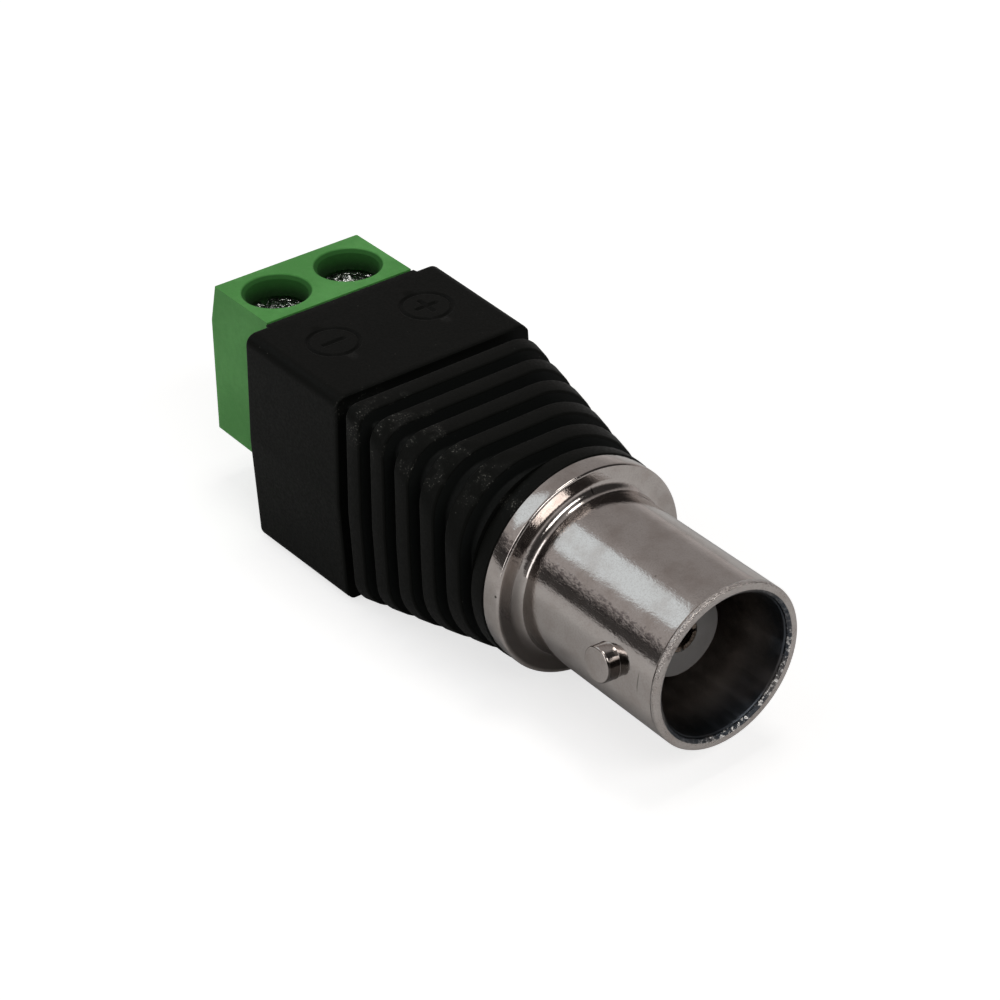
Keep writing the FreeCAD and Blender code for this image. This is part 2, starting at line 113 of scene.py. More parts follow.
# Moulded body
collar_length = 1.0 * mm
collar_radius = 6.25 * mm
collar_round = 0.1 * mm
rib_count = 5
rib_pitch = 2.08 * mm
rib_width = 1.13 * mm
rib_round = 0.14 * mm
groove_depth = 0.9 * mm
groove_round = 0.1 * mm
round_corner_start = 1.86 * mm
tight_corner_end = 5.35 * mm
corner_growth = 1.55
least_corner = 0.05 * mm
corner_room = 0.02 * mm
corner_steps = 14
edge_steps = 4
side_shares = (0.2, 0.4, 0.6, 0.8, 0.95)
foot_points = 8
block_rear = -33.4 * mm
block_half_height = body_high.z
block_half_width = 6.7 * mm
parting_bulge = body_high.y - block_half_width
block_corner = 0.7 * mm
block_round = 0.2 * mm
block_draft = 0.13 * mm
roof_lip_depth = block_rear - body_low.x
roof_lip_front = block_rear + 1.5 * block_round
roof_half_width = 5.1 * mm
roof_thickness = 1.2 * mm
pocket_gap = 0.03 * mm
pocket_depth = 1.2 * mm
cap_share = 0.8
cap_setback = 0.002 * mm
polarity_x = -29.68 * mm
polarity_y = 3.2 * mm
polarity_ring_radius = 1.47 * mm
polarity_ring_half_width = 0.1 * mm
polarity_ring_depth = 0.09 * mm
sign_half_length = 0.75 * mm
sign_half_width = 0.12 * mm
sign_depth = 0.10 * mm
mark_softness = 0.05 * mm
fine_step = 0.045 * mm
rear_step = 0.6 * mm
front_step = 0.8 * mm
body_crease = math.radians(50)
collar_rear = flange_rear - collar_length
block_front = collar_rear - rib_count * rib_pitch - (rib_pitch - rib_width)

# Clamp screws
screw_x = (screw_low.x + screw_high.x) / 2
pole_y = -(screw_low.y + screw_high.y) / 2
head_radius = (screw_high.x - screw_low.x) / 2
head_top = screw_high.z
head_foot = 3.6 * mm
head_foot_chamfer = 0.08 * mm
head_round = 0.16 * mm
head_dome = 0.06 * mm
head_segments = 64
shank_radius = 1.5 * mm
shank_tip = screw_low.z
shank_segments = 48
thread_pitch = 0.5 * mm
thread_depth = 0.27 * mm
levels_per_turn = 8
tip_chamfer = 0.35 * mm
tip_chamfer_length = 0.4 * mm
recess_reach = 1.35 * mm
recess_half_width = 0.24 * mm
recess_depth = 0.9 * mm
slot_reach = head_radius * 1.4
slot_half_width = 0.27 * mm
slot_depth = 0.5 * mm
cut_clearance = 0.2 * mm
cut_foot_share = 0.55
cut_top_share = 1.1
cut_end_taper = 0.55
screw_turn_middle = 0.5
screw_turn_swing = 0.6
screw_crease = math.radians(35)

# Terminal housing
driver_hole_reach = 2.16 * mm
driver_hole_softness = 0.08 * mm

# Seams and edges of the meshes
merge_distance = 0.0005 * mm
seam_weld = 0.001 * mm
edge_round_limit = math.radians(40)
edge_round_segments = 3
edge_rounds = {
    "terminal_housing": 0.07 * mm,
    "contact_bar_minus": 0.05 * mm,
    "contact_bar_plus": 0.05 * mm,
}

# Camera, fitted to the photo
view_azimuth = math.radians(53.336)
view_elevation = math.radians(33.476)
view_roll = math.radians(-1.303)
view_distance = 148.094 * mm
view_target = Vector((-18.815, 0, 0.422)) * mm
focal_length = 97.2
sensor_width = 36.0

# Studio
floor_height = body_low.z
floor_half_size = 2.0
camera_left = (-0.63, -0.77, 0.0)
behind_camera = (0.64, -0.54, 0.45)
high_on_right = (0.52, 0.62, 0.58)
lamps = (
    # name, direction from the part, distance, width, length, brightness, colour
    ("rear_lamp", (-0.669, -0.33, 0.665), 0.5, 0.23, 0.23, 0.62, (0.74, 0.92, 1.0)),
    ("front_lamp", (0.68, -0.04, 0.66), 0.6, 0.17, 0.44, 3.8, (1.0, 0.99, 0.97)),
    ("top_lamp", (0.0, 0.1, 1.0), 0.6, 0.17, 0.17, 5.8, (1.0, 0.99, 0.95)),
    ("side_lamp", (-0.1, -0.95, 0.35), 0.5, 0.5, 0.14, 1.8, (1.0, 1.0, 0.99)),
)


class Nodes:
    """A node tree, with short calls for the nodes that the looks share."""

    def __init__(self, tree):
        self.tree = tree

    def add(self, kind, **settings):
        node = self.tree.nodes.new(kind)
        for key, value in settings.items():
            setattr(node, key, value)
        return node

    def connect(self, target, value):
        """Sets a socket to a number or colour, or links it to another node's output."""
        if isinstance(value, bpy.types.NodeSocket):
            self.tree.links.new(value, target)
        else:
            target.default_value = value

    def math(self, operation, first, second=0.0):
        node = self.add("ShaderNodeMath", operation=operation)
        self.connect(node.inputs[0], first)
        self.connect(node.inputs[1], second)
        return node.outputs[0]

    def product(self, first, *others):
        """All the given values multiplied together."""
        for other in others:
            first = self.math("MULTIPLY", first, other)
        return first

    def weighted(self, first, first_share, second, second_share):
        """Sum of two values, each times a share of its own."""
        return self.math("ADD", self.product(first, first_share), self.product(second, second_share))

    def spread(self, value, low, high, to_low=0.0, to_high=1.0):
        """Carries the range low to high smoothly over to another range."""
        node = self.add("ShaderNodeMapRange", interpolation_type="SMOOTHSTEP")
        self.connect(node.inputs["Value"], value)
        limits = {"From Min": low, "From Max": high, "To Min": to_low, "To Max": to_high}
        for key, number in limits.items():
            node.inputs[key].default_value = number
        return node.outputs[0]

    def mix(self, factor, first, second):
        node = self.add("ShaderNodeMix", data_type="RGBA")
        self.connect(node.inputs["Factor"], factor)
        colours = [socket for socket in node.inputs if socket.type == "RGBA"]
        self.connect(colours[0], first)
        self.connect(colours[1], second)
        return [socket for socket in node.outputs if socket.type == "RGBA"][0]


class Shader(Nodes):
    """A material's node tree, with calls for textures and for places on the object."""

    def __init__(self, name):
        self.material = bpy.data.materials.new(name)
        self.material.use_nodes = True
        super().__init__(self.material.node_tree)
        self.surface = self.tree.nodes["Principled BSDF"]
        self.place = self.add("ShaderNodeTexCoord").outputs["Object"]
        split = self.add("ShaderNodeSeparateXYZ")
        self.connect(split.inputs[0], self.place)
        self.along, self.across, self.upright = split.outputs

    def set(self, **inputs):
        for key, value in inputs.items():
            self.connect(self.surface.inputs[key.replace("_", " ")], value)

    def stretched(self, factors):
        node = self.add("ShaderNodeMapping")
        self.connect(node.inputs["Vector"], self.place)
        node.inputs["Scale"].default_value = factors
        return node.outputs[0]

    def noise(self, grain, detail=2.0, stretch=(1, 1, 1), roughness=0.5):
        """Noise with features of about grain metres."""
        node = self.add("ShaderNodeTexNoise")
        self.connect(node.inputs["Vector"], self.stretched(stretch))
        node.inputs["Scale"].default_value = 1 / grain
        node.inputs["Detail"].default_value = detail
        node.inputs["Roughness"].default_value = roughness
        return node.outputs["Fac"]

    def noise_at(self, x, y, detail):
        """Noise at a place put together from two numbers, one feature per unit."""
        place = self.add("ShaderNodeCombineXYZ")
        self.connect(place.inputs[0], x)
        self.connect(place.inputs[1], y)
        node = self.add("ShaderNodeTexNoise")
        self.connect(node.inputs["Vector"], place.outputs[0])
        node.inputs["Scale"].default_value = 1.0
        node.inputs["Detail"].default_value = detail
        return node.outputs["Fac"]

    def cells(self, size):
        node = self.add("ShaderNodeTexVoronoi")
        self.connect(node.inputs["Vector"], self.place)
        node.inputs["Scale"].default_value = 1 / size
        return node.outputs["Distance"]

    def bump(self, height, depth, normal=None):
        """Bump whose full height is depth metres."""
        node = self.add("ShaderNodeBump")
        node.inputs["Distance"].default_value = depth
        self.connect(node.inputs["Height"], height)
        if normal is not None:
            self.connect(node.inputs["Normal"], normal)
        return node.outputs[0]

    def length(self, first, second):
        """Length of the line that goes first one way and second across it."""
        squares = self.math("ADD", self.product(first, first), self.product(second, second))
        return self.math("SQRT", squares)

    def spot(self, centre, reach):
        """One at a place, fading to nothing at the given reach each way. Both are in metres."""
        scale = [1 / length for length in reach]
        node = self.add("ShaderNodeVectorMath", operation="DISTANCE")
        self.connect(node.inputs[0], self.stretched(scale))
        node.inputs[1].default_value = [place * factor for place, factor in zip(centre, scale)]
        return self.spread(node.outputs["Value"], 1.0, 0.5)

    def round_pole(self):
        """Distance from the nearest clamp screw's axis, and the angle round it."""
        x = self.math("SUBTRACT", self.along, screw_x)
        y = self.math("SUBTRACT", self.math("ABSOLUTE", self.across), pole_y)
        return self.length(x, y), self.math("ARCTAN2", y, x)


def rgba(red, green, blue):
    return (red, green, blue, 1.0)


def in_grooves(shade):
    """One in the grooves between the ribs, and nothing elsewhere."""
    step = shade.math("DIVIDE", shade.math("SUBTRACT", shade.along, block_front), rib_pitch)
    groove_share = 1 - rib_width / rib_pitch
    last_end = rib_count + groove_share
    in_groove = shade.spread(shade.math("FRACT", step), groove_share, groove_share - 0.02)
    past_block = shade.spread(step, 0.0, 0.01)
    behind_collar = shade.spread(step, last_end, last_end - 0.05)
    return shade.product(in_groove, past_block, behind_collar)


def black_plastic():
    """Satin moulded plastic with fine grain, faint flow marks, specks of dust, paler grooves
    and scuffs with a painted highlight on the rib corners by the near top edge."""
    shade = Shader("black_plastic")
    grain = shade.noise(0.16 * mm, 4, roughness=0.6)
    cloud = shade.noise(3 * mm, 3)
    sunk = in_grooves(shade)
    # Patches on the rib corners by the near top edge, partly scuffs and partly a painted highlight.
    near_side = shade.spread(shade.across, -2.4 * mm, -3.8 * mm)
    upper = shade.spread(shade.upright, 4.2 * mm, 5.2 * mm)
    ribbed = shade.spread(shade.along, -25.0 * mm, -24.0 * mm)
    patches = shade.spread(shade.noise(0.9 * mm, 2), 0.46, 0.60)
    rubbed_and_sheen = shade.product(near_side, upper, ribbed, patches)
    specks = shade.spread(shade.noise(0.11 * mm, 2, roughness=0.7), 0.60, 0.68)
    scuffs_and_sheen = shade.product(rubbed_and_sheen, specks, shade.math("SUBTRACT", 1.0, sunk))
    dust = shade.spread(shade.noise(0.2 * mm, 1), 0.78, 0.84)
    bright = shade.math("MAXIMUM", scuffs_and_sheen, shade.product(dust, 0.35))
    base = shade.mix(cloud, rgba(0.0037, 0.0041, 0.0035), rgba(0.0059, 0.0064, 0.0055))
    base = shade.mix(rubbed_and_sheen, base, rgba(0.010, 0.0105, 0.0095))
    base = shade.mix(sunk, base, rgba(0.0105, 0.0118, 0.0112))
    shade.set(
        Base_Color=shade.mix(bright, base, rgba(0.15, 0.15, 0.135)),
        Roughness=shade.spread(grain, 0.3, 0.7, 0.42, 0.56),
        Specular_IOR_Level=0.07,
        Normal=shade.bump(shade.noise(1.5 * mm, 2), 0.02 * mm, shade.bump(grain, 0.006 * mm)),
    )
    return shade.material


def green_plastic():
    """Polyamide of the terminal: fairly matt, with a slight mottle, and painted shade down its
    driver holes, darker deeper down."""
    shade = Shader("green_plastic")
    mottle = shade.noise(0.5 * mm, 4, roughness=0.65)
    broad = shade.noise(4 * mm, 2)
    fine = shade.noise(0.1 * mm, 3)
    tone = shade.spread(shade.math("ADD", shade.product(mottle, 0.6), broad), 0.6, 1.1)
    skin = shade.mix(tone, rgba(0.095, 0.350, 0.081), rgba(0.135, 0.443, 0.117))
    # Painted shade down the driver holes, darker deeper down, where little light gets in.
    from_pole = shade.round_pole()[0]
    inside_edge = shade.spread(from_pole, driver_hole_reach, driver_hole_reach - driver_hole_softness)
    below = shade.spread(shade.upright, housing_high.z - 0.02 * mm, housing_high.z - 0.10 * mm)
    in_hole = shade.product(inside_edge, below)
    depth = shade.spread(shade.upright, housing_high.z - 0.3 * mm, housing_high.z - 1.3 * mm)
    painted_hole_shade = shade.mix(depth, rgba(0.030, 0.140, 0.026), rgba(0.008, 0.040, 0.007))
    rough = shade.spread(fine, 0.3, 0.7, 0.42, 0.55)
    shade.set(
        Base_Color=shade.mix(in_hole, skin, painted_hole_shade),
        Roughness=shade.math("ADD", rough, shade.product(in_hole, 0.3)),
        Specular_IOR_Level=0.2,
        Subsurface_Weight=0.15,
        Subsurface_Radius=(0.3, 1.0, 0.3),
        Subsurface_Scale=0.3 * mm,
        Normal=shade.bump(mottle, 0.008 * mm, shade.bump(fine, 0.003 * mm)),
    )
    return shade.material


def nickel_skin(shade):
    """Tone of the plating, with soft stains, fine grain, pits and the few handling marks."""
    stains = shade.spread(shade.noise(1.6 * mm, 4, roughness=0.6), 0.40, 0.75)
    tone = shade.mix(stains, rgba(0.61, 0.565, 0.54), rgba(0.50, 0.445, 0.415))
    grain = shade.spread(shade.noise(0.09 * mm, 2, roughness=0.7), 0.4, 0.7, 0.0, 0.35)
    tone = shade.mix(grain, tone, rgba(0.40, 0.36, 0.34))
    pits = shade.spread(shade.cells(0.9 * mm), 0.10, 0.03)
    pitted = shade.spread(shade.noise(2.2 * mm, 1), 0.52, 0.60)
    tone = shade.mix(shade.product(pits, pitted, 0.6), tone, rgba(0.10, 0.09, 0.08))
    for centre, reach, depth in handling_marks:
        mark = shade.product(shade.spot(centre, reach), depth)
        tone = shade.mix(mark, tone, rgba(0.04, 0.035, 0.03))
    return tone


def lug_painted_shade(shade, from_axis):
    """Painted shade on a lug's side, where it faces the mouth and the ground and would mirror the dark
    room.
    """
    rise = shade.math("ADD", shade.upright, shade.product(shade.across, -math.tan(lug_tilt)))
    ahead = shade.math("ADD", shade.along, lug_setback)
    from_lug = shade.length(rise, ahead)
    past_crown = shade.spread(from_lug, 0.9 * mm, 0.97 * mm)
    by_lug = shade.spread(from_lug, 1.25 * mm, 1.15 * mm)
    proud = shade.spread(from_axis, barrel_radius + 0.001 * mm, barrel_radius + 0.004 * mm)
    low_ahead = shade.math("SUBTRACT", ahead, shade.product(rise, 0.6))
    turned_away = shade.spread(low_ahead, 0.0, 0.5 * mm)
    return shade.product(past_crown, by_lug, proud, turned_away, 0.9)


def flange_painted_shade(shade, from_axis):
    """Painted shade on the flange's front, low on the near side, where it would mirror the barrel's dark
    underside and the shadowed floor.
    """
    leaning = shade.math("DIVIDE", shade.weighted(shade.across, -0.75, shade.upright, -0.66), from_axis)
    lower = shade.spread(leaning, 0.15, 0.75)
    by_flange = shade.spread(shade.along, -barrel_length + 0.5 * mm, -barrel_length + 0.05 * mm)
    inside_rim = shade.spread(from_axis, flange_radius - 0.1 * mm, flange_radius - 0.3 * mm)
    return shade.product(lower, by_flange, inside_rim, 0.85)


def bore_painted_shade(shade, lip):
    """Bore painted dark as shade, darkest and coldest towards the mouth, with painted bright
    glints on its lip, most of them low on the right."""
    front = shade.spread(shade.along, -3.5 * mm, -0.6 * mm)
    cloud = shade.spread(shade.noise(2.5 * mm, 2), 0.3, 0.6, 0.55, 1.0)
    dull = shade.mix(shade.product(front, cloud), rgba(0.30, 0.262, 0.238), rgba(0.075, 0.085, 0.10))
    right_and_down = shade.weighted(shade.across, 0.6, shade.upright, -0.8)
    low_right = shade.spread(right_and_down, 1.5 * mm, 3.4 * mm, 0.12, 1.0)
    glints = shade.spread(shade.noise(0.26 * mm, 3, roughness=0.65), 0.50, 0.58)
    return shade.mix(shade.product(glints, lip, low_right), dull, rgba(0.95, 0.93, 0.91))


def nickel_plate():
    """Turned and plated shell: lathe lines round the axis, ripples that break up what it
    mirrors, pits, dull handling marks, a bore painted dark as shade, painted shade on the lugs'
    sides and low on the flange, a streak along the near side with scratch relief and painted
    dark reflection flecks, and burr relief on the lip with painted bright glints."""
    shade = Shader("nickel_plate")
    from_axis = shade.length(shade.across, shade.upright)
    tone = nickel_skin(shade)
    # Painted shade on the lugs' sides that face the mouth and the ground.
    tone = shade.mix(lug_painted_shade(shade, from_axis), tone, rgba(0.05, 0.042, 0.036))
    # Painted shade low on the near side of the flange's front.
    tone = shade.mix(flange_painted_shade(shade, from_axis), tone, rgba(0.15, 0.135, 0.125))

    # A streak along the near side: scratch relief, with dark flecks painted in as a reflection.
    leaning = shade.math("DIVIDE", shade.weighted(shade.across, -0.819, shade.upright, 0.574), from_axis)
    streak = shade.spread(leaning, 0.9950, 0.9985)
    scratch_and_reflection_noise = shade.noise(0.2 * mm, 3, stretch=(0.5, 1, 1), roughness=0.7)
    flecks = shade.product(shade.spread(scratch_and_reflection_noise, 0.48, 0.60), streak, 0.65)
    tone = shade.mix(flecks, tone, rgba(0.20, 0.17, 0.17))

    # The bore's colour is painted shade, and the bright glints on its lip are painted highlights.
    bore = shade.spread(from_axis, bore_radius + 0.34 * mm, bore_radius + 0.29 * mm)
    by_mouth = shade.spread(shade.along, -0.35 * mm, -0.25 * mm)
    lip = shade.product(shade.spread(from_axis, bore_radius + 0.06 * mm, bore_radius + 0.14 * mm), by_mouth)
    burr = shade.product(shade.noise(0.2 * mm, 3, roughness=0.7), lip)

    lines = shade.noise(0.05 * mm, 3, stretch=(1, 0.02, 0.02))
    waves = shade.noise(0.8 * mm, 2, stretch=(0.6, 1, 1))
    ripples = shade.noise(0.16 * mm, 3, stretch=(0.6, 1, 1), roughness=0.65)
    relief = shade.bump(waves, 0.006 * mm, shade.bump(lines, 0.0005 * mm))
    relief = shade.bump(burr, 0.10 * mm, relief)
    relief = shade.bump(shade.product(scratch_and_reflection_noise, streak), 0.014 * mm, relief)
    rough = shade.spread(shade.noise(0.7 * mm, 4), 0.3, 0.7, 0.06, 0.13)
    shade.set(
        Base_Color=shade.mix(bore, tone, bore_painted_shade(shade, lip)),
        Metallic=1.0,
        Roughness=shade.math("ADD", rough, shade.product(bore, 0.30)),
        Normal=shade.bump(ripples, 0.006 * mm, relief),
    )
    return shade.material


def dielectric():
    """White waxy insulator in the jack's mouth, painted grey as the shade it sits in."""
    shade = Shader("dielectric")
    # The grey tones are painted shade on a white insulator deep in the mouth.
    cloud = shade.noise(1.0 * mm, 3)
    rings = shade.noise(0.12 * mm, 2, stretch=(1, 0.1, 0.1))
    shade.set(
        Base_Color=shade.mix(cloud, rgba(0.19, 0.182, 0.178), rgba(0.245, 0.238, 0.235)),
        Roughness=shade.spread(cloud, 0.3, 0.7, 0.38, 0.5),
        Subsurface_Weight=0.3,
        Subsurface_Radius=(1.0, 1.0, 1.0),
        Subsurface_Scale=0.4 * mm,
        Normal=shade.bump(rings, 0.003 * mm),
    )
    return shade.material


def bright_zinc():
    """Bright zinc on the screws, with ridges and burrs that run out from the axis, and painted
    dark green shade between the ridges.
    """
    shade = Shader("bright_zinc")
    from_pole, angle = shade.round_pole()
    ridges = shade.noise_at(shade.product(angle, 4.5), shade.product(from_pole, 1.7 / mm), 3.0)
    marks = shade.noise(0.25 * mm, 3)
    metal = shade.mix(shade.spread(marks, 0.35, 0.7), rgba(0.98, 0.98, 0.98), rgba(0.86, 0.88, 0.86))
    shade.set(
        # The ridges' low parts are painted dark green, as shade and a reflection of the green hole walls.
        Base_Color=shade.mix(shade.spread(ridges, 0.34, 0.40), rgba(0.10, 0.13, 0.10), metal),
        Metallic=1.0,
        Roughness=shade.spread(marks, 0.3, 0.7, 0.17, 0.28),
        Normal=shade.bump(ridges, 0.55 * mm, shade.bump(marks, 0.01 * mm)),
    )
    return shade.material


def plated_metal(name, light, dark, grain, rough, bump_depth):
    """Plated or drawn metal in two tones, with soft marks of the given grain."""
    shade = Shader(name)
    marks = shade.noise(grain, 4, roughness=0.6)
    shade.set(
        Base_Color=shade.mix(shade.spread(marks, 0.35, 0.7), light, dark),
        Metallic=1.0,
        Roughness=shade.spread(shade.noise(grain / 3, 2), 0.3, 0.7, rough - 0.06, rough + 0.06),
        Normal=shade.bump(marks, bump_depth),
    )
    return shade.material


def sleeve_plastic(name, light, dark):
    """Soft extruded sleeve of a wire, with faint lines along it."""
    shade = Shader(name)
    lines = shade.noise(0.1 * mm, 2, stretch=(0.05, 1, 1))
    shade.set(
        Base_Color=shade.mix(shade.noise(0.8 * mm, 3), light, dark),
        Roughness=shade.spread(lines, 0.3, 0.7, 0.42, 0.56),
        Normal=shade.bump(lines, 0.004 * mm),
    )
    return shade.material


def make_materials():
    """Every slot's finish by the slot's name, and the bright zinc that the screws have."""
    made = {
        "black_plastic": black_plastic(),
        "green_plastic": green_plastic(),
        "nickel_plate": nickel_plate(),
        "dielectric": dielectric(),
        "bright_zinc": bright_zinc(),
    }
    plated_metals = (
        # name, light tone, dark tone, grain, roughness, depth of the marks
        ("contact_plate", rgba(0.40, 0.33, 0.27), rgba(0.24, 0.18, 0.14), 0.3 * mm, 0.26, 0.003 * mm),
        ("zinc_steel", rgba(0.72, 0.73, 0.74), rgba(0.50, 0.51, 0.52), 0.25 * mm, 0.26, 0.003 * mm),
        ("tinned_metal", rgba(0.66, 0.65, 0.62), rgba(0.46, 0.44, 0.41), 0.4 * mm, 0.30, 0.005 * mm),
        ("copper", rgba(0.72, 0.36, 0.22), rgba(0.52, 0.24, 0.14), 0.2 * mm, 0.30, 0.003 * mm),
        ("solder", rgba(0.60, 0.60, 0.60), rgba(0.40, 0.40, 0.40), 0.5 * mm, 0.34, 0.02 * mm),
    )
    sleeves = (
        ("red_sleeve", rgba(0.42, 0.022, 0.016), rgba(0.32, 0.014, 0.012)),
        ("black_sleeve", rgba(0.012, 0.012, 0.012), rgba(0.020, 0.020, 0.020)),
    )
    for metal in plated_metals:
        made[metal[0]] = plated_metal(*metal)
    for sleeve in sleeves:
        made[sleeve[0]] = sleeve_plastic(*sleeve)
    return made


def make_piece(name, data, body, slot, replaced, finish=None):
    """Makes a smooth piece from mesh data, on a body, in place of a node. Its finish is the
    slot's own unless another is named."""
    piece = bpy.data.objects.new(name, data)
    bpy.context.scene.collection.objects.link(piece)
    for polygon in piece.data.polygons:
        polygon.use_smooth = True
    piece.data.materials.append(materials[finish or slot])
    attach(piece, body)
    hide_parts(replaced)
    return piece


def mesh_from(name, edit):
    """Finished mesh data of an edit mesh, with its faces turned outwards."""
    bmesh.ops.remove_doubles(edit, verts=edit.verts, dist=merge_distance)
    bmesh.ops.recalc_face_normals(edit, faces=edit.faces)
    data = bpy.data.meshes.new(name)
    edit.to_mesh(data)
    edit.free()
    return data


def sharpen(piece, angle):
    """Keeps edges sharper than angle crisp in a smooth piece."""
    piece.data.set_sharp_from_angle(angle=angle)


def strip(edit, first, second):
    """Quads between two closed rings that have the same number of corners."""
    count = len(first)
    for index in range(count):
        after = (index + 1) % count
        edit.faces.new((first[index], first[after], second[after], second[index]))


def rings_to_faces(edit, rings):
    """Joins a list of rings of places into one skin, and gives its end rings."""
    made = [[edit.verts.new(place) for place in ring] for ring in rings]
    for first, second in zip(made, made[1:]):
        strip(edit, first, second)
    return made[0], made[-1]


def once_round(segments):
    """Even angles once round."""
    return [2 * math.pi * index / segments for index in range(segments)]


def arc(centre, radius, first, last, steps):
    """Points of an arc in the plane of a profile, angles in degrees."""
    points = []
    for step in range(steps + 1):
        angle = math.radians(first + (last - first) * step / steps)
        points.append((centre[0] + radius * math.cos(angle), centre[1] + radius * math.sin(angle)))
    return points


def blend(start, end, share):
    return start + (end - start) * share


def smooth_step(value, low, high):
    share = min(max((value - low) / (high - low), 0), 1)
    return share * share * (3 - 2 * share)


def spaced(start, end, step):
    """Even places from start to end, no further apart than step."""
    rounding_slack = 1e-6
    count = max(1, math.ceil(abs(end - start) / step - rounding_slack))
    return [start + (end - start) * index / count for index in range(count + 1)]


def turned(edit, profile, segments):
    """Skin of a closed profile of (x, radius) points turned round the X axis. The lip of the
    mouth is a little uneven, as a burr leaves it."""
    chance = random.Random(7)
    lip_rear = -bore_chamfer - lip_break
    lip_reach = bore_radius + bore_chamfer + lip_break
    rings = []
    for x, profile_radius in profile:
        on_lip = x > lip_rear and profile_radius < lip_reach
        ring = []
        for angle in once_round(segments):
            radius = profile_radius
            if on_lip:
                radius += chance.uniform(0, lip_jitter)
            ring.append((x, radius * math.cos(angle), radius * math.sin(angle)))
        rings.append(ring)
    first, last = rings_to_faces(edit, rings)
    strip(edit, last, first)


def shell_profile():
    """Closed outline of the turned shell as (x, radius) points, from the mouth's outer edge."""
    barrel_start = -0.6 * mm
    barrel_end = -barrel_length + flange_fillet
    points = arc((-barrel_round, barrel_radius - barrel_round), barrel_round, 0, 90, 8)
    points.extend((x, barrel_radius) for x in spaced(barrel_start, barrel_end, barrel_step)[:-1])
    points.extend(arc((barrel_end, barrel_radius + flange_fillet), flange_fillet, 270, 180, 10))
    front_centre = (-barrel_length - flange_front_round, flange_radius - flange_front_round)
    points.extend(arc(front_centre, flange_front_round, 0, 90, 8))
    rear_centre = (flange_rear + flange_rear_round, flange_radius - flange_rear_round)
    points.extend(arc(rear_centre, flange_rear_round, 90, 180, 4))
    points.extend((
        (flange_rear, stem_radius),
        (stem_rear, stem_radius),
        (stem_rear, spigot_radius),
        (shell_low.x, spigot_radius),
        (shell_low.x, counterbore_radius),
        (counterbore_front, counterbore_radius),
        (counterbore_front, web_bore_radius),
        (-bore_depth, web_bore_radius),
        (-bore_depth, bore_radius),
        (-bore_chamfer - lip_run, bore_radius),
        (-bore_chamfer, bore_radius + lip_break),
        (-bore_chamfer / 2, bore_radius + bore_chamfer / 2),
        (-2 * lip_break, bore_radius + bore_chamfer),
        (0, bore_radius + bore_chamfer + lip_run),
    ))
    return points


def lug_profile():
    """Points (radius, height, whether height is from the barrel) from a lug's foot to its
    middle."""
    foot_centre = (lug_radius + lug_foot_round, lug_foot_round)
    tip_centre = (lug_radius - lug_round, lug_tip - lug_round)
    foot = arc(foot_centre, lug_foot_round, 270, 180, 4)
    tip = arc(tip_centre, lug_round, 0, 90, 4) + [(lug_radius * lug_crown_share, lug_tip)]
    profile = [(radius, height, True) for radius, height in foot]
    profile.extend((radius, height, False) for radius, height in tip)
    return profile


def lug(edit, side):
    """One bayonet lug, with a small round where it leaves the barrel and round its tip."""
    turn = Matrix.Rotation(lug_tilt, 3, "X")
    rings = []
    for radius, height, from_barrel in lug_profile():
        ring = []
        for angle in once_round(lug_segments):
            x = radius * math.cos(angle)
            z = radius * math.sin(angle)
            y = height
            if from_barrel:
                y += math.sqrt(barrel_radius ** 2 - z ** 2) - lug_overlap
            ring.append(turn @ Vector((x - lug_setback, side * y, z)))
        rings.append(ring)
    root, tip = rings_to_faces(edit, rings)
    edit.faces.new(tip)
    edit.faces.new(root)


def jack_shell():
    """Turned shell with its two lugs."""
    edit = bmesh.new()
    turned(edit, shell_profile(), turned_segments)
    for side in (1, -1):
        lug(edit, side)
    data = mesh_from("shell_finish", edit)
    piece = make_piece("shell_finish", data, "body", "nickel_plate", "jack_shell")
    sharpen(piece, shell_crease)


def section(x, inset, rounder):
    """Sizes of the moulded body's outline across the axis at x, drawn in by inset. Corners
    that face each other across the axis are alike, and one pair is rounder on the ribs."""
    ribbed = min(max((x - block_front) / (collar_rear - block_front), 0), 1)
    height = blend(block_half_height, collar_radius, ribbed) - inset
    width = blend(block_half_width, collar_radius, ribbed) - inset
    bulge = blend(parting_bulge, 0, ribbed)
    if x < block_front:
        draft = block_draft * max(x - block_rear, 0) / (block_front - block_rear)
        height -= draft
        width -= draft
    corner = blend(block_corner, tight_corner_end, ribbed ** corner_growth)
    if rounder and ribbed > 0:
        corner = blend(round_corner_start, collar_radius, ribbed)
    if x > collar_rear:
        corner = collar_radius
    corner = min(max(corner - inset, least_corner), height - corner_room, width - corner_room)
    return height, width, bulge, corner


def quarter(x, inset, rounder, flat_points):
    """Points (y, z) of a quarter of the outline, from the middle of the top to the side."""
    height, width, bulge, corner = section(x, inset, rounder)
    waist = width + bulge
    slant = math.hypot(height, bulge)
    centre_z = height - corner
    centre_y = waist - (corner * slant + bulge * centre_z) / height
    side_angle = math.degrees(math.atan2(bulge, height))
    points = [(centre_y * index / flat_points, height) for index in range(flat_points)]
    points.extend(arc((centre_y, centre_z), corner, 90, side_angle, corner_steps))
    start_y, start_z = points[-1]
    points.extend((blend(start_y, waist, share), blend(start_z, 0, share)) for share in side_shares)
    return points


def outline_ring(x, inset, top_points):
    """Whole outline at x, round from the middle of the top."""
    width, bulge = section(x, inset, True)[1:3]
    waist = width + bulge
    ring = quarter(x, inset, True, top_points) + [(waist, 0)]
    ring += [(y, -z) for y, z in reversed(quarter(x, inset, False, foot_points))]
    ring += [(-y, -z) for y, z in quarter(x, inset, True, foot_points)[1:]] + [(-waist, 0)]
    ring += [(-y, z) for y, z in reversed(quarter(x, inset, False, top_points)[1:])]
    return ring


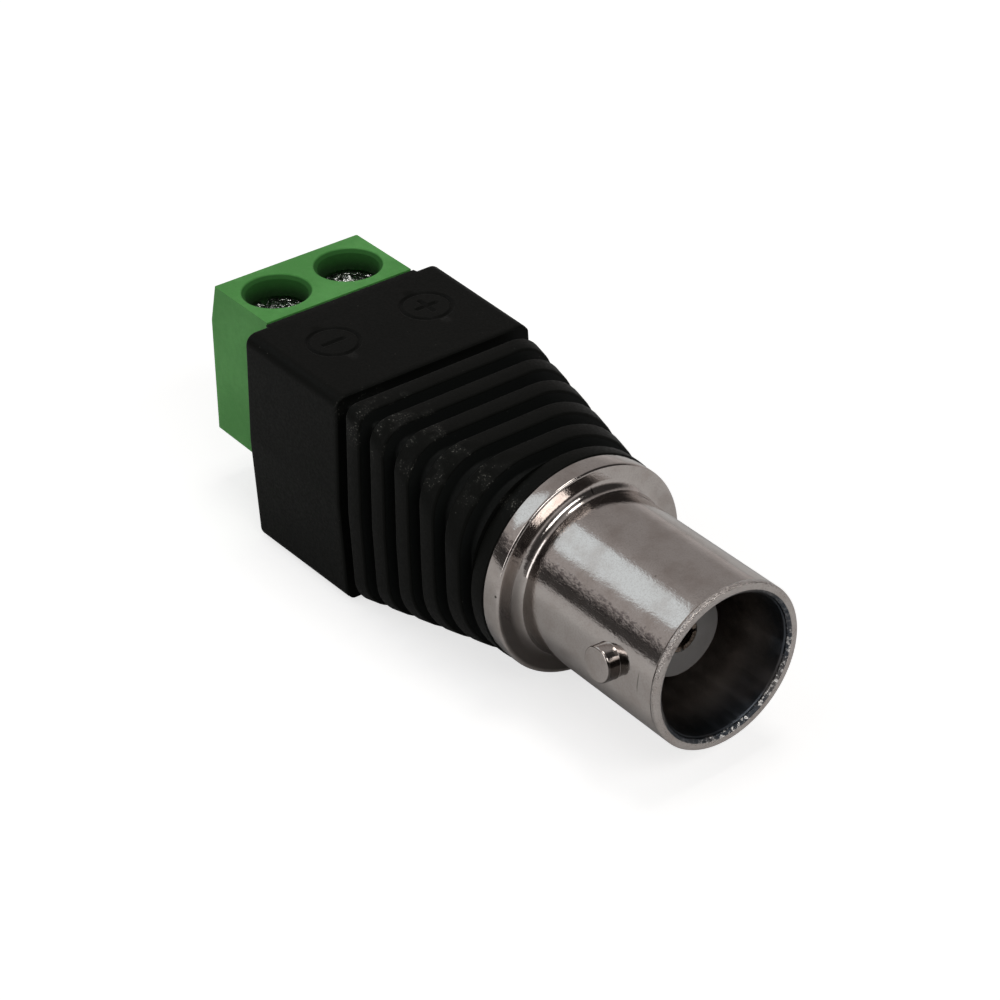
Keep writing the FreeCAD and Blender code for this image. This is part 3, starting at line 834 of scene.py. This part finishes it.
def within(distance, half_size):
    """One nearer than half_size, and nothing further off, with a soft edge."""
    return 1 - smooth_step(distance, half_size - mark_softness, half_size + mark_softness)


def sign_bar(along_bar, across_bar):
    """One on a bar of a polarity sign, and nothing off it."""
    return within(abs(along_bar), sign_half_length) * within(abs(across_bar), sign_half_width)


def polarity_mark(x, y):
    """How far the top is sunk at a place, for the ring and sign at each pole."""
    along = x - polarity_x
    side = 1 if y > 0 else -1
    across = y - side * polarity_y
    from_ring = abs(math.hypot(along, across) - polarity_ring_radius)
    sign = sign_bar(across, along)
    if side > 0:
        sign = max(sign, sign_bar(along, across))
    return max(polarity_ring_depth * within(from_ring, polarity_ring_half_width), sign_depth * sign)


def rounded_edge(x, inward, radius):
    """Stations (x, inset) of a small round where a side face meets the outside."""
    stations = []
    for step in range(edge_steps + 1):
        angle = math.pi / 2 * step / edge_steps
        place = x + inward * radius * (1 - math.cos(angle))
        stations.append((place, radius * (1 - math.sin(angle))))
    return stations


def groove_stations(rear, front):
    """Stations (x, inset) of a groove, with a small round along each side of its floor."""
    side_run = 0.01 * mm
    turn = 0.3 * groove_round
    return [
        (rear + side_run, groove_depth - groove_round),
        (rear + turn, groove_depth - turn),
        (rear + groove_round, groove_depth),
        (front - groove_round, groove_depth),
        (front - turn, groove_depth - turn),
        (front - side_run, groove_depth - groove_round),
    ]


def rib_stations(rear, front):
    """Stations (x, inset) of a rib, rounded along both its edges."""
    stations = rounded_edge(rear, 1, rib_round)
    stations.append(((rear + front) / 2, 0))
    stations.extend(reversed(rounded_edge(front, -1, rib_round)))
    return stations


def body_stations():
    """Stations (x, inset) along the moulded body, from its rear face to its collar."""
    mark_reach = polarity_ring_radius + polarity_ring_half_width + fine_step
    marks_rear = polarity_x - mark_reach
    marks_front = polarity_x + mark_reach
    flat = spaced(block_rear + 2 * block_round, marks_rear, rear_step)
    flat.extend(spaced(marks_rear, marks_front, fine_step)[1:])
    flat.extend(spaced(marks_front, block_front - 2 * block_round, front_step)[1:])
    stations = rounded_edge(block_rear, 1, block_round)
    stations.extend((x, 0) for x in flat)
    stations.extend(reversed(rounded_edge(block_front, -1, block_round)))
    for index in range(rib_count):
        groove_rear = block_front + index * rib_pitch
        rib_rear = groove_rear + rib_pitch - rib_width
        stations.extend(groove_stations(groove_rear, rib_rear))
        stations.extend(rib_stations(rib_rear, rib_rear + rib_width))
    stations.extend(groove_stations(block_front + rib_count * rib_pitch, collar_rear))
    stations.extend(rounded_edge(collar_rear, 1, collar_round))
    stations.extend(reversed(rounded_edge(flange_rear, -1, collar_round)))
    return stations


def body_place(x, y, z, top):
    """A place of the outline at x, with the roof lip drawn back over the housing and the
    polarity marks sunk into the block's top."""
    slack = 0.01 * mm
    level = 0.001 * mm
    place_x = x
    on_roof = z > block_half_height - block_round - slack and abs(y) < roof_half_width
    if x < roof_lip_front and on_roof:
        place_x = x - roof_lip_depth * (1 - smooth_step(x, block_rear + block_round, roof_lip_front))
    if block_rear + block_round < x < block_front - block_round and z > top - level:
        z -= polarity_mark(x, y)
    return place_x, y, z


def pocket_ring(rear_ring):
    """Rear outline carried onto the edge of the pocket that holds the green housing."""
    half_width = housing_high.y + pocket_gap
    top = housing_high.z - roof_thickness - pocket_gap
    foot = housing_low.z - pocket_gap
    middle = (top + foot) / 2
    half_height = (top - foot) / 2
    ring = []
    for x, y, z in rear_ring:
        rise = z - middle
        scale = 1 / max(abs(y) / half_width, abs(rise) / half_height)
        ring.append((x, y * scale, middle + rise * scale))
    return ring


def moulded_body():
    """Block with a pocket and a roof lip, ribs that taper and turn round, and a collar."""
    edit = bmesh.new()
    top_points = math.ceil((block_half_width - block_corner) / fine_step)
    rings = []
    for x, inset in body_stations():
        top = section(x, inset, True)[0]
        rings.append([body_place(x, y, z, top) for y, z in outline_ring(x, inset, top_points)])
    mouth = pocket_ring(rings[0])
    floor = [(block_rear + pocket_depth, y, z) for x, y, z in mouth]
    front_cap = [(flange_rear - cap_setback, y * cap_share, z * cap_share) for x, y, z in rings[-1]]
    first, last = rings_to_faces(edit, [floor, mouth] + rings + [front_cap])
    edit.faces.new(first)
    edit.faces.new(last)
    data = mesh_from("body_finish", edit)
    piece = make_piece("body_finish", data, "body", "black_plastic", "overmould_body")
    sharpen(piece, body_crease)


def screw_head(edit):
    """Head as a turned skin round Z, slightly domed, from its underside to its middle."""
    shoulder = head_top - head_round - head_dome
    profile = [
        (shank_radius, head_foot),
        (head_radius - head_foot_chamfer, head_foot),
        (head_radius, head_foot + head_foot_chamfer),
        (head_radius, shoulder),
    ]
    profile.extend(arc((head_radius - head_round, shoulder), head_round, 0, 80, 4)[1:])
    profile.append((head_radius * 0.6, head_top - head_dome / 4))
    profile.append((0.02 * mm, head_top))
    rings = []
    for radius, z in profile:
        rings.append([(radius * math.cos(a), radius * math.sin(a), z) for a in once_round(head_segments)])
    underside, crown = rings_to_faces(edit, rings)
    edit.faces.new(underside)
    edit.faces.new(crown)


def threaded_shank(edit):
    """Shank whose skin follows one continuous thread, chamfered at the tip."""
    turns = (head_foot - shank_tip) / thread_pitch
    levels = math.ceil(turns * levels_per_turn)
    rings = []
    for level in range(levels + 1):
        z = blend(shank_tip, head_foot, level / levels)
        limit = shank_radius - tip_chamfer * (1 - smooth_step(z - shank_tip, 0, tip_chamfer_length))
        ring = []
        for index, angle in enumerate(once_round(shank_segments)):
            phase = ((z - shank_tip) / thread_pitch - index / shank_segments) % 1.0
            cut = thread_depth * abs(2 * phase - 1)
            radius = min(shank_radius - cut, limit)
            ring.append((radius * math.cos(angle), radius * math.sin(angle), z))
        rings.append(ring)
    tip, top = rings_to_faces(edit, rings)
    edit.faces.new(tip)
    edit.faces.new(top)


def tapered_bar(edit, reach, half_width, depth, turned_round):
    """Cutting block for one arm of the recess, narrower at its foot."""
    levels = (
        (head_top - depth, cut_foot_share),
        (head_top + cut_clearance, cut_top_share),
    )
    places = []
    for z, share in levels:
        for x_sign, y_sign in ((-1, -1), (1, -1), (1, 1), (-1, 1)):
            x = x_sign * reach * blend(1, share, cut_end_taper)
            y = y_sign * half_width * share
            places.append((y, x, z) if turned_round else (x, y, z))
    corners = [edit.verts.new(place) for place in places]
    low, high = corners[:4], corners[4:]
    strip(edit, low, high)
    edit.faces.new(low)
    edit.faces.new(high)


def helper_object(name, edit):
    """Object for a cut, taken away again once the cut is done."""
    thing = bpy.data.objects.new(name, mesh_from(name, edit))
    bpy.context.scene.collection.objects.link(thing)
    return thing


def cut_away(target, cutter):
    """Takes cutter out of target for good, and removes cutter."""
    modifier = target.modifiers.new("cut", "BOOLEAN")
    modifier.operation = "DIFFERENCE"
    modifier.solver = "EXACT"
    modifier.object = cutter
    graph = bpy.context.evaluated_depsgraph_get()
    result = bpy.data.meshes.new_from_object(target.evaluated_get(graph))
    target.modifiers.clear()
    target.data = result
    bpy.data.objects.remove(cutter)


def cut_head(name):
    """Screw head with a cross recess and a driver slot cut into it."""
    edit = bmesh.new()
    screw_head(edit)
    head = helper_object("head_" + name, edit)
    for reach, half_width, depth, turned_round in (
        (recess_reach, recess_half_width, recess_depth, False),
        (recess_reach, recess_half_width, recess_depth, True),
        (slot_reach, slot_half_width, slot_depth, False),
    ):
        cutter = bmesh.new()
        tapered_bar(cutter, reach, half_width, depth, turned_round)
        cut_away(head, helper_object("cutter", cutter))
    return head


def clamp_screw(name, side):
    """Captive screw with a cross and slot in its head and a real thread."""
    head = cut_head(name)
    edit = bmesh.new()
    edit.from_mesh(head.data)
    bpy.data.objects.remove(head)
    threaded_shank(edit)
    turn = Matrix.Rotation(screw_turn_middle + side * screw_turn_swing, 3, "Z")
    bmesh.ops.rotate(edit, verts=edit.verts, cent=(0, 0, 0), matrix=turn)
    bmesh.ops.translate(edit, verts=edit.verts, vec=(screw_x, side * pole_y, 0))
    piece_name = "screw_finish_" + name
    data = bpy.data.meshes.new(piece_name)
    edit.to_mesh(data)
    edit.free()
    body = name + "_screw"
    piece = make_piece(piece_name, data, body, "zinc_steel", "clamp_screw_" + name, "bright_zinc")
    sharpen(piece, screw_crease)


def dress_nodes():
    """Gives every carried-over node its finish and welds its seams, and gives the few named in
    edge_rounds a small round on their sharp edges.
    """
    slots = {part["node"]: part["material_slot"] for part in frame["record"]["subparts"]}
    for name, node in frame["nodes"].items():
        if node.hide_render:
            continue
        node.data.materials.clear()
        node.data.materials.append(materials[slots[name]])
        weld = node.modifiers.new("join seams", "WELD")
        weld.merge_threshold = seam_weld
        if name in edge_rounds:
            bevel = node.modifiers.new("round edges", "BEVEL")
            bevel.width = edge_rounds[name]
            bevel.segments = edge_round_segments
            bevel.limit_method = "ANGLE"
            bevel.angle_limit = edge_round_limit
            bevel.use_clamp_overlap = True


def glow_by_ray(nodes, camera_share, shiny_share):
    """Strength by the kind of ray: one share for the camera, and another for shiny and clear
    surfaces."""
    rays = nodes.add("ShaderNodeLightPath")
    total = 0.0
    for name, share in (
        ("Is Camera Ray", camera_share),
        ("Is Glossy Ray", shiny_share),
        ("Is Transmission Ray", shiny_share),
    ):
        node = nodes.add("ShaderNodeMath", operation="MULTIPLY_ADD")
        nodes.connect(node.inputs[0], rays.outputs[name])
        nodes.connect(node.inputs[1], share)
        nodes.connect(node.inputs[2], total)
        total = node.outputs[0]
    return total


def floor_material():
    """Grey paint that takes the shadow, with a glow on it. For the camera the glow turns it
    white, most fully further off. For shiny and clear surfaces it glows only faintly, and not
    under the part."""
    material = bpy.data.materials.new("floor")
    material.use_nodes = True
    nodes = Nodes(material.node_tree)
    nodes.tree.nodes.clear()
    place = nodes.add("ShaderNodeTexCoord")
    from_part = nodes.add("ShaderNodeVectorMath", operation="DISTANCE")
    nodes.connect(from_part.inputs[0], place.outputs["Object"])
    from_part.inputs[1].default_value = ((body_low.x + body_high.x) / 2, 0, 0)
    distance = from_part.outputs["Value"]
    camera_share = nodes.spread(distance, 50 * mm, 250 * mm, 0.70, 1.0)
    shiny_share = nodes.spread(distance, 14 * mm, 34 * mm, 0.0, 0.14)
    paint = nodes.add("ShaderNodeBsdfDiffuse")
    paint.inputs["Color"].default_value = rgba(0.60, 0.60, 0.60)
    glow = nodes.add("ShaderNodeEmission")
    glow.inputs["Color"].default_value = rgba(1, 1, 1)
    nodes.connect(glow.inputs["Strength"], glow_by_ray(nodes, camera_share, shiny_share))
    both = nodes.add("ShaderNodeAddShader")
    nodes.connect(both.inputs[0], paint.outputs[0])
    nodes.connect(both.inputs[1], glow.outputs[0])
    output = nodes.add("ShaderNodeOutputMaterial")
    nodes.connect(output.inputs["Surface"], both.outputs[0])
    return material


def studio_floor():
    """Plain floor at the part's underside."""
    edit = bmesh.new()
    bmesh.ops.create_grid(edit, x_segments=4, y_segments=4, size=floor_half_size)
    data = bpy.data.meshes.new("floor")
    edit.to_mesh(data)
    edit.free()
    floor = bpy.data.objects.new("floor", data)
    floor.location.z = floor_height
    bpy.context.scene.collection.objects.link(floor)
    floor.data.materials.append(floor_material())


def room_light(nodes):
    """Strength of the room's light: even overhead, brighter low down and on the camera's
    left, with a dark band above the floor there, and dimmer behind the camera and high on its
    right."""
    direction = nodes.add("ShaderNodeTexCoord").outputs["Generated"]
    split = nodes.add("ShaderNodeSeparateXYZ")
    nodes.connect(split.inputs[0], direction)
    height = split.outputs[2]

    def towards(place):
        node = nodes.add("ShaderNodeVectorMath", operation="DOT_PRODUCT")
        nodes.connect(node.inputs[0], direction)
        node.inputs[1].default_value = Vector(place).normalized()
        return node.outputs["Value"]

    sky = nodes.spread(towards(camera_left), 0.2, 0.6, 0.32, 0.43)
    sky = nodes.math("ADD", sky, nodes.spread(height, 0.3, 0.0, 0.0, 0.2))
    left = nodes.spread(towards(camera_left), 0.35, 0.8)
    low_band = nodes.product(nodes.spread(height, 0.345, 0.225), nodes.spread(height, -0.10, 0.0))
    dark_band = nodes.product(left, low_band, 0.90)
    behind = nodes.spread(towards(behind_camera), 0.62, 0.93, 0.0, 0.85)
    corner = nodes.spread(towards(high_on_right), 0.76, 0.92, 0.0, 0.88)
    for dimming in (dark_band, behind, corner):
        sky = nodes.product(sky, nodes.math("SUBTRACT", 1.0, dimming))
    return sky


def studio_world():
    """Soft room light, and plain white where the camera looks past the floor."""
    world = bpy.data.worlds.new("studio")
    bpy.context.scene.world = world
    world.use_nodes = True
    nodes = Nodes(world.node_tree)
    nodes.tree.nodes.clear()
    seen = nodes.add("ShaderNodeLightPath").outputs["Is Camera Ray"]
    strength = nodes.add("ShaderNodeMix", data_type="FLOAT")
    nodes.connect(strength.inputs[0], seen)
    nodes.connect(strength.inputs[2], room_light(nodes))
    nodes.connect(strength.inputs[3], 1.0)
    background = nodes.add("ShaderNodeBackground")
    tint = nodes.mix(seen, rgba(1.0, 0.95, 0.93), rgba(1.0, 1.0, 1.0))
    nodes.connect(background.inputs["Color"], tint)
    nodes.connect(background.inputs["Strength"], strength.outputs[0])
    output = nodes.add("ShaderNodeOutputWorld")
    nodes.connect(output.inputs["Surface"], background.outputs[0])


def area_lamp(name, direction, distance, width, length, brightness, colour):
    """Soft lamp of even brightness that faces the part from a direction."""
    data = bpy.data.lights.new(name, "AREA")
    data.shape = "RECTANGLE"
    data.size = width
    data.size_y = length
    data.energy = brightness * math.pi * width * length
    data.color = colour
    lamp = bpy.data.objects.new(name, data)
    bpy.context.scene.collection.objects.link(lamp)
    towards = Vector(direction).normalized()
    centre = (cad_bounds[0] + cad_bounds[1]) / 2
    lamp.location = centre + towards * distance
    lamp.rotation_euler = towards.to_track_quat("Z", "X").to_euler()


def photo_camera():
    """Camera at the place from which the photo was taken."""
    data = bpy.data.cameras.new("camera")
    data.sensor_width = sensor_width
    data.lens = focal_length
    data.clip_start = 1 * mm
    data.clip_end = 10.0
    camera = bpy.data.objects.new("camera", data)
    bpy.context.scene.collection.objects.link(camera)
    level = math.cos(view_elevation)
    back_x = math.sin(view_azimuth) * level
    back_y = -math.cos(view_azimuth) * level
    back = Vector((back_x, back_y, math.sin(view_elevation)))
    right = Vector((0, 0, 1)).cross(back).normalized()
    up = back.cross(right)
    turned_right = right * math.cos(view_roll) + up * math.sin(view_roll)
    turned_up = up * math.cos(view_roll) - right * math.sin(view_roll)
    axes = Matrix((turned_right, turned_up, back)).transposed()
    camera.matrix_world = Matrix.Translation(view_target + back * view_distance) @ axes.to_4x4()
    bpy.context.scene.camera = camera


materials = make_materials()
jack_shell()
moulded_body()
clamp_screw("minus", -1)
clamp_screw("plus", 1)
dress_nodes()
studio_floor()
studio_world()
for lamp in lamps:
    area_lamp(*lamp)
photo_camera()
bpy.context.scene.view_settings.view_transform = "Standard"
